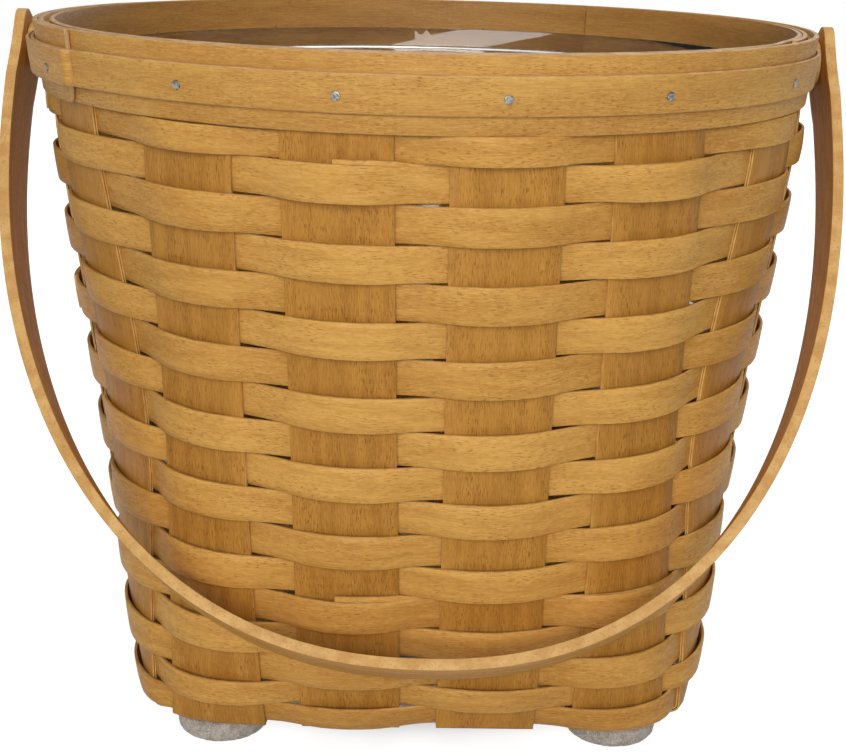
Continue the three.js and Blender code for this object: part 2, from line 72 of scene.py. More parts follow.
rowLow, rowHigh = lowHigh("weaver_18")
splintLow = lowHigh("splint_front_back_2")[0]
bandLow, bandHigh = lowHigh("outer_band")
pivot = Vector(frame["joints"][0]["pos_m"])   # of the handle
wall = {
    "middle": (rowLow[0] + rowHigh[0]) / 2,   # the body stands a little right of the origin
    "floor": splintLow[2],                    # underside of the woven base
    "height": bandHigh[2] - splintLow[2],
    "baseHalf": 115.5 * mm,                   # half the base's side, to the middle of the stakes
    "rimReach": 162.2 * mm,                   # middle of the stakes at the rim
    "cornerReach": 151.53 * mm,               # middle of the base's rounded corners
    "roundHeight": 133 * mm,                  # the corners have melted into a circle here
    "cornerBlend": 8 * mm,
    "squarest": 1.4,                          # most that a corner may reach out against the sides
    "flare": 0.603,                           # power of the height with which the sides spread
    "twist": math.radians(1.57),              # the base is turned this much against the rim
    "stakeWidth": 40.4 * mm,
    "stakeThickness": 1.8 * mm,
    "stakes": (-83.25 * mm, -27.75 * mm, 27.75 * mm, 83.25 * mm),
    "fan": 2.2 * mm,                          # the front stakes part this much more at the rim
    "bulge": ((0, 60 * mm, 235 * mm, 262 * mm), (0, 0.009, 0.014, 0)),  # share wider, by height
    "steps": 1440,                            # straight pieces in a level cut through the wall
}


# The basket's wall: a square that melts into a circle as it rises

def sideReach(height):
    rise = np.maximum(height, 0) / wall["height"]
    return wall["baseHalf"] + (wall["rimReach"] - wall["baseHalf"]) * rise ** wall["flare"]


def sectionPower(height):
    side = sideReach(height)
    roundSide = sideReach(wall["roundHeight"])
    straight = wall["cornerReach"] + (roundSide - wall["cornerReach"]) * height / wall["roundHeight"]
    blend = wall["cornerBlend"]
    near = np.maximum(blend - np.abs(straight - side), 0)
    corner = np.maximum(side, straight) + near ** 2 / (4 * blend)
    return 1 / (0.5 - np.log2(np.minimum(corner / side, wall["squarest"])))


class Section:
    # a level cut through the wall, with the length along it to each of its corners
    def __init__(self, height):
        self.height = height
        self.side = float(sideReach(height))
        self.power = float(sectionPower(height))
        angle = np.linspace(-math.pi, math.pi, wall["steps"] + 1)
        across, away = np.sin(angle), -np.cos(angle)
        scale = (np.abs(across) ** self.power + np.abs(away) ** self.power) ** (-1 / self.power)
        self.points = np.stack([across, away], 1) * (self.side * scale)[:, None]
        steps = np.linalg.norm(np.diff(self.points, axis=0), axis=1)
        self.lengths = np.concatenate([[0], np.cumsum(steps)])
        self.total = self.lengths[-1]
        self.angles = angle

    def lengthAt(self, angle):
        return np.interp(angle, self.angles, self.lengths)

    def stakeLength(self, side, offset):
        # a stake stands in an upright plane, so its middle is at a fixed offset along its side
        away = self.side * (1 - abs(offset / self.side) ** self.power) ** (1 / self.power)
        angle = math.atan2(offset, away) + side * math.pi / 2
        turns = math.floor((angle + math.pi) / (2 * math.pi))
        angle -= turns * 2 * math.pi
        spread = wall["fan"] * min(self.height / wall["height"], 1) * (1 - abs(angle) / math.pi)
        return self.lengthAt(angle) + math.copysign(spread, angle) + turns * self.total

    def at(self, length):
        wrapped = np.mod(length, self.total)
        x = np.interp(wrapped, self.lengths, self.points[:, 0])
        y = np.interp(wrapped, self.lengths, self.points[:, 1])
        return np.stack([x, y], -1)

    def outward(self, length):
        step = 1.5 * mm
        tangent = self.at(length + step) - self.at(length - step)
        tangent /= np.linalg.norm(tangent, axis=-1, keepdims=True)
        return np.stack([tangent[..., 1], -tangent[..., 0]], -1)


def standing(flat, height):
    # turns a point of a section with the base's twist and stands it in the frame
    height = np.broadcast_to(height, flat.shape[:-1])
    turn = wall["twist"] * (1 - np.clip(height / wall["height"], 0, 1))
    wider = 1 + np.interp(height, *wall["bulge"])
    x = wider * (flat[..., 0] * np.cos(turn) - flat[..., 1] * np.sin(turn))
    y = flat[..., 0] * np.sin(turn) + flat[..., 1] * np.cos(turn)
    return np.stack([x + wall["middle"], y, height + wall["floor"]], -1)


# Making and finishing strips

def deselect():
    bpy.ops.object.select_all(action="DESELECT")


def useOnly(piece):
    deselect()
    piece.select_set(True)
    bpy.context.view_layer.objects.active = piece


def applyModifier(piece, kind, **settings):
    useOnly(piece)
    modifier = piece.modifiers.new(kind, kind)
    for key, value in settings.items():
        setattr(modifier, key, value)
    bpy.ops.object.modifier_apply(modifier=modifier.name)


def joined(pieces, name):
    deselect()
    for piece in pieces:
        piece.select_set(True)
    bpy.context.view_layer.objects.active = pieces[0]
    bpy.ops.object.join()
    pieces[0].name = pieces[0].data.name = name
    return pieces[0]


def bevel(piece, width, segments, angle=40, **more):
    applyModifier(piece, "BEVEL", width=width, segments=segments, limit_method="ANGLE",
                  angle_limit=math.radians(angle), **more)


def shadeByAngle(piece):
    useOnly(piece)
    bpy.ops.object.shade_smooth_by_angle(angle=math.radians(35))


def shadeSmooth(piece):
    useOnly(piece)
    bpy.ops.object.shade_smooth()


def cylinder(vertices, radius, depth, spot=(0, 0, 0), alongX=False):
    deselect()
    turn = (0, math.pi / 2 if alongX else 0, 0)
    bpy.ops.mesh.primitive_cylinder_add(vertices=vertices, radius=radius, depth=depth, location=spot,
                                        rotation=turn)
    bpy.ops.object.transform_apply(location=True, rotation=True, scale=True)
    return bpy.context.object


def grid(name, points, along, across, **marks):
    # a grid primitive moved onto points[i, j]; its map holds real lengths along and across the strip,
    # and the marks are numbers at its points for the material to read
    rows, columns = points.shape[:2]
    deselect()
    bpy.ops.mesh.primitive_grid_add(x_subdivisions=rows - 1, y_subdivisions=columns - 1, size=1)
    sheet = bpy.context.object
    sheet.name = sheet.data.name = name
    mesh = sheet.data
    flat = np.zeros(len(mesh.vertices) * 3)
    mesh.vertices.foreach_get("co", flat)
    flat = flat.reshape(-1, 3)
    i = np.rint((flat[:, 0] + 0.5) * (rows - 1)).astype(int)
    j = np.rint((flat[:, 1] + 0.5) * (columns - 1)).astype(int)
    mesh.vertices.foreach_set("co", points[i, j].ravel())
    corners = np.zeros(len(mesh.loops), int)
    mesh.loops.foreach_get("vertex_index", corners)
    uv = np.stack([np.broadcast_to(along, (rows, columns))[i, j][corners],
                   np.broadcast_to(across, (rows, columns))[i, j][corners]], 1)
    mesh.uv_layers[0].name = "strip"
    mesh.uv_layers[0].data.foreach_set("uv", uv.ravel())
    for mark, values in marks.items():
        layer = mesh.attributes.new(mark, "FLOAT", "POINT")
        spread = np.broadcast_to(values, (rows, columns))[i, j]
        layer.data.foreach_set("value", spread.astype(np.float32))
    mesh.update()
    return sheet


def thicken(sheet, thickness, rounding, segments=2):
    applyModifier(sheet, "SOLIDIFY", thickness=thickness, offset=0, use_even_offset=True,
                  use_quality_normals=True, material_offset_rim=1)
    bevel(sheet, rounding, segments, 50, harden_normals=True)
    shadeSmooth(sheet)


def dress(piece, *materials):
    piece.data.materials.clear()
    for material in materials:
        piece.data.materials.append(material)


def place(piece, body, node):
    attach(piece, body)
    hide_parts(node)


# Materials

smooth = {"interpolation_type": "SMOOTHSTEP"}   # settings of a range with soft ends
mixing = {"data_type": "RGBA"}                  # and of a mix of two colours


def wire(tree, node, inputs):
    # an input is linked where its value is another node's output, and set where it is a constant
    for key, value in inputs.items():
        if isinstance(value, bpy.types.NodeSocket):
            tree.links.new(value, node.inputs[key])
        else:
            node.inputs[key].default_value = value


def addNode(tree, kind, *values, output=0, **named):
    # values fill the node's live inputs in their order. Of the named ones, those with a capital are
    # inputs and the others are settings. What comes back is the node's output
    node = tree.nodes.new("ShaderNode" + kind)
    for key, value in named.items():
        if key[0].islower():
            setattr(node, key, value)
    live = [number for number, socket in enumerate(node.inputs) if socket.enabled]
    wire(tree, node, dict(zip(live, values)))
    wire(tree, node, {key: value for key, value in named.items() if key[0].isupper()})
    if isinstance(output, str):
        return node.outputs[output]
    return [socket for socket in node.outputs if socket.enabled][output]


def newMaterial(name):
    material = bpy.data.materials.new(name)
    material.use_nodes = True
    tree = material.node_tree
    return material, tree, tree.nodes["Principled BSDF"]


def stainedMaple(name, look):
    # sliced maple under a honey stain and a thin satin varnish: a long soft figure, mottling, and short
    # dark and pale dashes along the strip where the fibres rise and fall
    material, tree, shader = newMaterial(name)
    strip = addNode(tree, "UVMap", uv_map="strip")
    tone = addNode(tree, "Attribute", attribute_name="tone", output="Fac")
    # painted shade: marks on the strip darken it where it dives under others and low in the wall
    cover = addNode(tree, "Attribute", attribute_name="cover", output="Fac")
    noises = []
    for mark, detail, start in look["marks"]:
        length, width = look[mark]
        stretched = addNode(tree, "Mapping", Vector=strip, Location=(start, start, 0),
                            Scale=(1 / length, 1 / width, 1))
        noises.append(addNode(tree, "TexNoise", stretched, 1.0, detail, look["grit"],
                              noise_dimensions="2D"))
    figure, mottle, dark, pale, knots, patches = noises
    figure = addNode(tree, "MapRange", figure, *look["soft"], **smooth)
    mottling = addNode(tree, "MapRange", mottle, *look["soft"], **smooth)
    level = look["base"]
    for value, share in ((figure, look["figureShare"]), (mottling, look["mottleShare"]),
                         (tone, look["toneShare"]), (cover, look["coverShare"])):
        level = addNode(tree, "Math", value, share, level, operation="MULTIPLY_ADD", use_clamp=True)
    patches = addNode(tree, "MapRange", patches, *look["patchSpan"], *look["patchShares"], **smooth)
    paleDashes = addNode(tree, "MapRange", pale, *look["paleSpan"], 0, look["paleShare"], **smooth)
    darkDashes = addNode(tree, "MapRange", dark, *look["darkSpan"], 0, look["darkShare"], **smooth)
    darkDashes = addNode(tree, "Math", darkDashes, patches, operation="MULTIPLY")
    specks = addNode(tree, "MapRange", knots, *look["knotSpan"], 0, look["knotShare"], **smooth)
    colour = linear(look["light"])
    for share, hexColour in ((level, look["dark"]), (paleDashes, look["paleColour"]),
                             (darkDashes, look["darkColour"]), (specks, look["knotColour"])):
        colour = addNode(tree, "Mix", share, colour, linear(hexColour), **mixing)
    raised = addNode(tree, "Math", mottle, look["mottleRelief"], operation="MULTIPLY")
    raised = addNode(tree, "Math", raised, darkDashes, operation="SUBTRACT")
    wire(tree, shader, {
        "Base Color": colour,
        "Roughness": addNode(tree, "MapRange", mottle, *look["soft"], *look["roughness"], **smooth),
        "IOR": look["ior"],
        "Specular IOR Level": look["gloss"],
        "Normal": addNode(tree, "Bump", Height=raised, Strength=look["relief"], Distance=look["depth"]),
    })
    return material


weaverLook = {
    "light": "#D6A353", "dark": "#B07830", "darkColour": "#9A6426", "paleColour": "#E2B873",
    "knotColour": "#7E4A1A",
    "marks": (("figure", 2, 3.1), ("mottle", 4, 7.7), ("dash", 2, 1.3), ("dash", 2, 5.9),
              ("knot", 1, 2.6), ("patch", 2, 9.2)),       # detail and start of each noise
    "grit": 0.6,                                            # how strong their fine detail is
    "soft": (0.3, 0.7),                                     # the stretch of a noise that is used
    "figure": (36 * mm, 5 * mm), "figureShare": 0.34,       # length and width of one mark
    "mottle": (6 * mm, 0.8 * mm), "mottleShare": 0.34,
    "dash": (2.8 * mm, 0.40 * mm),
    "paleSpan": (0.54, 0.68), "paleShare": 0.28,
    "darkSpan": (0.57, 0.68), "darkShare": 0.75,
    "patch": (26 * mm, 9 * mm), "patchSpan": (0.36, 0.64),  # the dark dashes gather in patches
    "patchShares": (0.3, 1.0),
    "knot": (1.6 * mm, 0.9 * mm), "knotSpan": (0.80, 0.85), "knotShare": 0.75,
    "base": 0.04, "toneShare": 0.18, "coverShare": 0.16,    # tone of a strip, and painted shade under others and low in the wall
    "roughness": (0.47, 0.58), "ior": 1.48, "gloss": 0.22,
    "relief": 0.4, "mottleRelief": 0.6, "depth": 0.22 * mm,
}
stakeLook = dict(weaverLook, light="#C28B3C", dark="#955F1C", darkColour="#7C4C18", paleColour="#CFA05A",
                 figure=(60 * mm, 5 * mm), mottle=(6 * mm, 0.6 * mm), dash=(3.4 * mm, 0.45 * mm),
                 paleShare=0.2, mottleShare=0.26, toneShare=0.07, coverShare=0.15)
rimLook = dict(weaverLook, light="#D0A052", dark="#A87030", figure=(90 * mm, 10 * mm),
               mottle=(9 * mm, 0.8 * mm))
# the inner band's wood is drawn darker: painted shade of the basket's inside
shadedInsideLook = dict(rimLook, light="#B58645", dark="#8F5F2A", paleColour="#C09356")
handleLook = dict(weaverLook, light="#D29A48", dark="#A46E28", figure=(110 * mm, 11 * mm),
                  mottle=(14 * mm, 1.3 * mm), paleShare=0.3, gloss=0.12)
weaverWood = stainedMaple("stainedMapleWeaver", weaverLook)
stakeWood = stainedMaple("stainedMapleStake", stakeLook)
rimWood = stainedMaple("stainedMapleRim", rimLook)
shadedInsideWood = stainedMaple("stainedMapleInsidePaintedShade", shadedInsideLook)
handleWood = stainedMaple("bentMapleHandle", handleLook)


def speckled(name, look):
    # a coarse noise between two colours and a fine one for specks, roughness and relief
    material, tree, shader = newMaterial(name)
    spot = addNode(tree, "TexCoord", output="Object")
    coarse, fine = [addNode(tree, "TexNoise", Vector=spot, Scale=1 / size, Detail=detail, Distortion=twist)
                    for size, detail, twist in (look["coarse"], look["fine"])]
    share = addNode(tree, "MapRange", coarse, *look["coarseSpan"], **smooth)
    colour = addNode(tree, "Mix", share, linear(look["light"]), linear(look["dark"]), **mixing)
    for low, high, most, hexColour in look["specks"]:
        share = addNode(tree, "MapRange", fine, low, high, 0, most, **smooth)
        colour = addNode(tree, "Mix", share, colour, linear(hexColour), **mixing)
    bump = addNode(tree, "Bump", Height=fine, Strength=look["relief"], Distance=look["depth"])
    wire(tree, shader, {"Base Color": colour, "Normal": bump, **look["shader"]})
    if "roughness" in look:
        rough = addNode(tree, "MapRange", fine, *look["fineSpan"], *look["roughness"], **smooth)
        wire(tree, shader, {"Roughness": rough})
    return material


# the same maple where it was cut or sanded through: bare, pale and finely speckled with open grain
edgeLook = {
    "light": "#D8AC66", "dark": "#BC8C48", "specks": ((0.52, 0.68, 0.35, "#9A6E38"),),
    "coarse": (7 * mm, 2.0, 0), "coarseSpan": (0.3, 0.7), "fine": (0.9 * mm, 3.0, 0), "fineSpan": (0.3, 0.7),
    "roughness": (0.55, 0.7), "relief": 0.4, "depth": 0.2 * mm, "shader": {"Specular IOR Level": 0.3},
}
# bright wire nails gone dull: grey metal with small hammer marks
steelLook = {
    "light": "#A5A29C", "dark": "#6E6A64", "specks": (),
    "coarse": (0.8 * mm, 2.0, 0), "coarseSpan": (0.35, 0.65),
    "fine": (0.8 * mm, 2.0, 0), "fineSpan": (0.3, 0.7),
    "roughness": (0.32, 0.5), "relief": 0.3, "depth": 0.1 * mm, "shader": {"Metallic": 1.0},
}
# grey wool felt: matted fibres a few tenths of a millimetre thick, drawn coarser so that they show
feltLook = {
    "light": "#B5AA9E", "dark": "#9A8F83",
    "specks": ((0.52, 0.64, 0.8, "#D8D0C6"), (0.40, 0.32, 0.6, "#6F665E")),
    "coarse": (3.5 * mm, 3.0, 0), "coarseSpan": (0.35, 0.65), "fine": (0.7 * mm, 3.0, 1.2),
    "relief": 0.8, "depth": 0.5 * mm, "shader": {"Roughness": 0.95, "Sheen Weight": 0.3},
}
# thin vacuum-formed PVC: clear and glossy, so only its bends and faint waves catch the light
plasticLook = {
    "light": "#F4F3F0", "dark": "#EAE8E4", "specks": (),
    "coarse": (35 * mm, 1.0, 0), "coarseSpan": (0.3, 0.7), "fine": (35 * mm, 1.0, 0),
    "relief": 0.35, "depth": 1.2 * mm,
    "shader": {"Roughness": 0.05, "IOR": 1.5, "Transmission Weight": 1.0},
}
edgeWood = speckled("cutMapleEdge", edgeLook)
rimEdge = speckled("wornRimEdge", dict(edgeLook, light="#D2AC80", dark="#B88E60"))
handleEdge = speckled("sandedMapleEdge", dict(edgeLook, light="#D3A868", dark="#C19152"))
steel = speckled("dullSteel", steelLook)
felt = speckled("pressedFelt", feltLook)
plastic = speckled("clearPlastic", plasticLook)
print("materials made")


# Woven rows. Each is one strip that passes over and under the stakes and laps over its own start

weave = {
    "thickness": 1.3 * mm,
    "rounding": 0.22 * mm,
    "rowGap": 0.24 * mm,          # left between two rows
    "cadGap": 0.25 * mm,          # the solids' rows stop this short of their neighbours' middle line
    "pinch": 0.33 * mm,           # each edge draws back this much where the strip crosses over
    "pinchSpan": (0.125, 0.75),   # shares of its stand-off where it is pinched most and no more
    "lift": ((2, 17, 18, 19), (0, 2.2 * mm, 1.6 * mm, 0)),  # rows sit this much higher, by number
    "touch": 0.08 * mm,           # between a weaver and the stake's edge that it bends over
    "bow": (0.7 * mm, 1.3 * mm),  # it stands off the stake's middle this much more, inside and outside
    "frontBow": 3.0 * mm,         # outside the front stakes
    "cup": 0.16 * mm,             # its middle stands off its edges
    "stakeSteps": 10,
    "gapSteps": 6,
    "across": 5,
    "onStake": 0.35,              # share of the way to the next stake that lies on this one
    "starts": (4, 12),            # stakes between which a row starts
    "rises": (-0.3, 0.4),         # millimetres that a hidden end stands up
    "riseShares": (0.35, 0.6, 1.0),  # of the rise, at the strip's lower edge, inside it and at its upper
    "riseSpan": (0.35, 0.55),     # stakes from the start between which the rise fades
    "lapStakes": 3,               # stakes that the doubled stretch runs over
    "lapSpan": (0.3, 0.7),        # stakes past one between which a layer steps in or out
    "lapGap": 0.06 * mm,
    "lapTuck": 0.25,              # share of a stake's half width at which the hidden end lies
    "waver": 0.35 * mm,
    "waves": (3, 5),              # of the waver, once round
    "shade": 0.9,                 # painted shade: the strip is darker where it dives under a stake
    "lowShade": (1.2, 5),         # and painted shade in the lowest rows, where the wall leans in: how much, and up to which row
    "grainStep": (1.7, 0.31),     # metres between the places in the wood that two rows are cut from
    "seed": 11,
}
# rows whose hidden end shows above the outer layer on the front, as stake, place on it and rise
shownLaps = {17: (1, 0.5 * mm, 1.5 * mm), 5: (1, -4.6 * mm, 2.1 * mm)}
chance = np.random.default_rng(weave["seed"])
order = [(side, offset) for side in range(4) for offset in wall["stakes"]]  # the stakes, all round


def crossing(start, end, slope, s):
    # a smooth passage from one side of the stakes to the other, s is the share of it that is done
    return ((2 * s ** 3 - 3 * s ** 2 + 1) * start + (-2 * s ** 3 + 3 * s ** 2) * end
            + (s ** 3 - 2 * s ** 2 + s) * slope[0] + (s ** 3 - s ** 2) * slope[1])


def bowAt(k, sign):
    return weave["frontBow"] if sign > 0 and order[k][0] == 0 else weave["bow"][sign > 0]


def rowPath(section, row, first, count):
    # lengths along the section, stand-off from the stakes' middle surface and place in stakes
    half = wall["stakeWidth"] / 2
    edge = (wall["stakeThickness"] + weave["thickness"]) / 2 + weave["touch"]
    lengths, offs, stations = [], [], []
    for n in range(first, first + count):
        turns, k = divmod(n, len(order))
        nextTurns, nextK = divmod(n + 1, len(order))
        here = section.stakeLength(*order[k]) + turns * section.total
        there = section.stakeLength(*order[nextK]) + nextTurns * section.total
        sign = 1 if (row - 1 + n) % 2 == 1 else -1
        d = np.linspace(-half, half, weave["stakeSteps"] + 1)
        lengths.append(here + d)
        bow = bowAt(k, sign)
        offs.append(sign * (edge + bow * (1 - (d / half) ** 2)))
        stations.append(n + d / half * weave["onStake"])
        if n == first + count - 1:
            break
        share = np.linspace(0, 1, weave["gapSteps"] + 2)[1:-1]
        gap = there - here - 2 * half
        leaving = -2 * sign * bow / half * gap
        arriving = -2 * sign * bowAt(nextK, -sign) / half * gap
        lengths.append(here + half + gap * share)
        offs.append(crossing(sign * edge, -sign * edge, (leaving, arriving), share))
        stations.append(n + weave["onStake"] + (1 - 2 * weave["onStake"]) * share)
    return np.concatenate(lengths), np.concatenate(offs), np.concatenate(stations)


def wovenRow(row):
    low, high = lowHigh(f"weaver_{row:02d}")
    room = weave["rowGap"] / 2 - weave["cadGap"]
    bottom = low[2] - wall["floor"] + room + np.interp(row, *weave["lift"])
    top = high[2] - wall["floor"] - room + np.interp(row + 1, *weave["lift"])
    if row in shownLaps:
        first, shift, rise = shownLaps[row]
    else:
        first, shift = int(chance.integers(*weave["starts"])), 0.0
        rise = chance.uniform(*weave["rises"]) * mm
        first += (row - 1 + first) % 2          # starts tucked behind a stake
    count = len(order) + weave["lapStakes"] + 1
    layer = weave["thickness"] + weave["lapGap"]
    levels = np.linspace(0, 1, weave["across"] + 1)
    columns, alongs = [], []
    phase = chance.uniform(0, 2 * math.pi, 3)   # its two waves use the first two
    tone = chance.uniform(-1, 1)
    for share in levels:
        section = Section(bottom + (top - bottom) * share)
        lengths, offs, stations = rowPath(section, row, first, count)
        # the strip starts on the inside of the doubled stretch and ends on its outside
        fromStart = stations - first
        fromEnd = fromStart - len(order)
        near, far = weave["lapSpan"]
        inner = np.interp(fromStart - weave["lapStakes"], (near, far), (1, 0))
        outer = np.interp(fromEnd, (-far, -near), (0, 1))
        standOff = np.abs(offs) / np.max(np.abs(offs))
        lift = np.where(offs > 0, outer, -inner) * layer * standOff
        stand = offs + lift + weave["cup"] * (1 - (2 * share - 1) ** 2)
        flat = section.at(lengths) + section.outward(lengths) * stand[:, None]
        turn = 2 * math.pi * stations / len(order)
        waves = [np.sin(number * turn + start) for number, start in zip(weave["waves"], phase)]
        climb = weave["waver"] * sum(waves) / 2 + rise * np.interp(fromStart, weave["riseSpan"], (1, 0))
        points = standing(flat, np.full(len(lengths), section.height))
        points[:, 2] += climb * weave["riseShares"][int(share > 0) + int(share == 1)]
        points[:, 2] += weave["pinch"] * (1 - 2 * share) * np.interp(standOff, weave["pinchSpan"], (1, 0))
        columns.append(points)
        alongs.append(lengths - lengths[0])
    points = np.stack(columns, 1)
    along = np.stack(alongs, 1)
    # trims the ends: the hidden one where the photo shows it, the outer one behind a stake
    start = int(round(weave["stakeSteps"] / 2 * (1 + shift / (wall["stakeWidth"] / 2))))
    stop = len(points) - int(round(weave["stakeSteps"] / 2 * (1 - weave["lapTuck"])))
    points, along = points[start:stop], along[start:stop]
    # painted shade: darker where the strip dives under a stake, and in the lowest rows
    covered = np.clip(0.5 - weave["shade"] * offs[start:stop] / np.max(np.abs(offs)), 0, 1)[:, None]
    shade, shadedRows = weave["lowShade"]
    covered = covered + shade * max(0, shadedRows - row) / shadedRows
    further, wider = weave["grainStep"]
    strip = grid(f"wovenRow{row:02d}", points, along + row * further,
                 ((top - bottom) * levels + row * wider)[None, :], tone=tone, cover=covered)
    dress(strip, weaverWood, edgeWood)
    thicken(strip, weave["thickness"], weave["rounding"])
    place(strip, "basket", f"weaver_{row:02d}")


for row in range(1, 19):
    wovenRow(row)
print("rows woven")


# Splints: two plies each, down one side, plaited across the base and up the other side

splint = {
    "ply": 0.68 * mm,
    "plies": ((-0.54 * mm, 0.7 * mm), (0.54 * mm, 0.0)),  # stand-off, and how much narrower, of each
    "rounding": 0.13 * mm,
    "topDrop": 2 * mm,            # it ends this far under the rim's upper edge
    "foldRadius": 3.4 * mm,
    "foldTop": 1.25,              # radii up the wall where the fold starts
    "lastStep": 1.4,              # radii up the wall where its even steps have ended
    "foldSteps": 7,
    "wallStep": 6 * mm,
    "baseSteps": 60,
    "across": 6,
    "plait": 1.05 * mm,           # half the distance between the crossing splints' middles
    "bend": 9 * mm,               # length over which a splint dives under the next one
    "shade": 0.8,                 # painted shade: the splints are darker towards the base, where the wall leans in
    "shadeHeight": 140 * mm,
    "grainStep": (2.3, 0.2),      # metres between the places in the wood that two splints are cut from
}
plaitMiddle = splint["plait"] + wall["stakeThickness"] / 2


def plaitHeight(forward, side, lane):
    # height of a splint's middle above the base's underside as it passes over and under the others
    stakes = wall["stakes"]
    total = np.zeros_like(forward)
    weight = np.zeros_like(forward)
    for number, crossingAt in enumerate(stakes):
        other = len(stakes) - 1 - number if side == 0 else number
        sign = 1 if (lane + other + side) % 2 == 0 else -1
        near = np.clip((wall["stakeWidth"] / 2 + splint["bend"] - np.abs(forward - crossingAt))
                       / splint["bend"], 0, 1)
        near = near * near * (3 - 2 * near)
        total += sign * near
        weight = np.maximum(weight, near)
    return plaitMiddle + splint["plait"] * np.clip(total, -1, 1) * weight


def fold(top, bottom):
    # a quarter bend from the wall into the base
    angle = np.linspace(0, math.pi / 2, splint["foldSteps"] + 2)[1:-1]
    down = 1 - np.cos(angle)
    return top + (bottom - top) * np.stack([down, down, np.sin(angle)], 1)


def splintLine(side, lane, across):
    # one line along the splint: front wall, fold, base, fold, back wall
    offset = wall["stakes"][lane]
    radius = splint["foldRadius"]
    heights = np.arange(wall["height"] - splint["topDrop"], radius * splint["lastStep"], -splint["wallStep"])
    heights = np.append(heights, radius * splint["foldTop"])
    lines = []
    for which, shift, sign in ((side, offset, 1), (side + 2, -offset, -1)):
        points = []
        for height in heights:
            section = Section(height)
            length = section.stakeLength(which % 4, shift) + sign * across
            points.append(np.append(section.at(length), height))
        lines.append(np.array(points))
    turn = side * math.pi / 2
    spin = np.array([[math.cos(-turn), -math.sin(-turn)], [math.sin(-turn), math.cos(-turn)]])
    start, end = [np.append(spin @ line[-1][:2], heights[-1]) for line in lines]
    # across the base the offset stays, forward runs from the front fold to the back one
    front, back = abs(start[1]) - radius, abs(end[1]) - radius
    forward = np.linspace(front, -back, splint["baseSteps"] + 1)
    sideways = np.interp(forward, (-back, front), (end[0], start[0]))
    base = np.stack([sideways, -forward, plaitHeight(forward, side, lane)], 1)
    flatLine = np.concatenate([fold(start, base[0]), base, fold(end, base[-1])[::-1]])
    middle = np.concatenate([flatLine[:, :2] @ np.linalg.inv(spin).T, flatLine[:, 2:]], 1)
    return np.concatenate([lines[0], middle, lines[1][::-1]])


def splintPiece(side, lane):
    tone = chance.uniform(-1, 1)
    further, wider = splint["grainStep"]
    plies = []
    for shift, narrower in splint["plies"]:
        half = (wall["stakeWidth"] - narrower) / 2
        offsets = np.linspace(-half, half, splint["across"] + 1)
        lines = np.stack([splintLine(side, lane, across) for across in offsets], 1)
        points = standing(lines[..., :2], lines[..., 2])
        steps = np.linalg.norm(np.diff(points[:, splint["across"] // 2], axis=0), axis=1)
        along = np.concatenate([[0], np.cumsum(steps)])[:, None] + further * (side * 4 + lane)
        normal = np.cross(np.gradient(points, axis=0), np.gradient(points, axis=1))
        normal /= np.linalg.norm(normal, axis=2, keepdims=True)
        # painted shade: darker towards the base
        low = np.clip(1 - (points[..., 2] - wall["floor"]) / splint["shadeHeight"], 0, 1)
        ply = grid("ply", points + normal * shift, along, offsets[None, :] + wider * lane,
                   tone=tone, cover=low * splint["shade"])
        dress(ply, stakeWood, edgeWood)
        thicken(ply, splint["ply"], splint["rounding"])
        plies.append(ply)
    way = ("front_back", "left_right")[side]
    piece = joined(plies, f"stakeSplint_{way}_{lane + 1}")
    place(piece, "basket", f"splint_{way}_{lane + 1}")


for side in (0, 1):
    for lane in range(4):
        splintPiece(side, lane)
print("splints folded")


# Rim: inner band, outer band and trim strip, each a strip bent round and lapped over its own end

rim = {
    "bandThickness": 2.0 * mm,
    "bandRounding": 0.45 * mm,
    "trimThickness": 1.6 * mm,
    "trimRounding": 0.5 * mm,
    "seat": 0.3 * mm,              # between a strip and the one on it
    "clear": 0.4 * mm,             # between a band and the stakes
    "inset": 0.1 * mm,             # the edges stay this far inside the solids'
    "step": 1.5,                   # degrees between the strip's corners
    "lastSteps": (1.0, 0.7, 0.45, 0.2, 0.0),   # degrees from its end to its last corners
    "ramp": 9,                     # degrees over which a strip steps onto its own end
    "early": 1,                    # and by which it has stepped up before it
    "bandLap": (-111, -54),        # degrees from the front between which a strip lies double
    "trimLap": (-106, -52),
    "innerLap": (64, 149),
    "curl": 2.2 * mm,              # the trim's end is bent in this far
    "curlTurn": 1.0,               # degrees over which it bends
    "cut": 1.6 * mm,               # the outer band's end is this far out of square
    "chip": 2.6 * mm,              # and its lower corner is chipped this far
    "chipShare": 0.3,
    "cutTurn": 4,                  # degrees over which the corners move to make the cut
    "radius": 165.5 * mm,          # where lengths along the strips are measured
    "grainStart": (101.7, 3.33),   # place in the wood that the strips are cut from
    "across": 6,
}
trimLow, trimHigh = lowHigh("trim_strip")
bandEdges = (bandLow[2] + rim["inset"], bandHigh[2])
trimEdges = (trimLow[2] + rim["inset"], trimHigh[2] - rim["inset"])
bandMiddle = wall["stakeThickness"] / 2 + rim["clear"] + rim["bandThickness"] / 2
trimMiddle = bandMiddle + rim["bandThickness"] / 2 + rim["seat"] + rim["trimThickness"] / 2
bandStep = rim["bandThickness"] + rim["seat"]
trimStep = rim["trimThickness"] + rim["seat"]


def overBand(turns):
    # the trim's first layer steps down past the band's end, its last one stays out to its own end
    start, end = rim["bandLap"]
    ramp = rim["ramp"]
    first = np.interp(turns, (start - ramp, start, end, end + ramp), (0, bandStep, bandStep, 0))
    last = np.interp(turns, (start + 360 - ramp, start + 360), (0, bandStep))
    return np.where(turns > 180, last, first)


def cutEnd(turns, share, end):
    # sawn a little out of square and chipped at the lower corner
    last = np.clip((turns - (end - rim["cutTurn"])) / rim["cutTurn"], 0, 1)
    chip = rim["chip"] * np.clip(1 - share / rim["chipShare"], 0, 1)
    return last * (rim["cut"] * (share - 0.5) - chip)


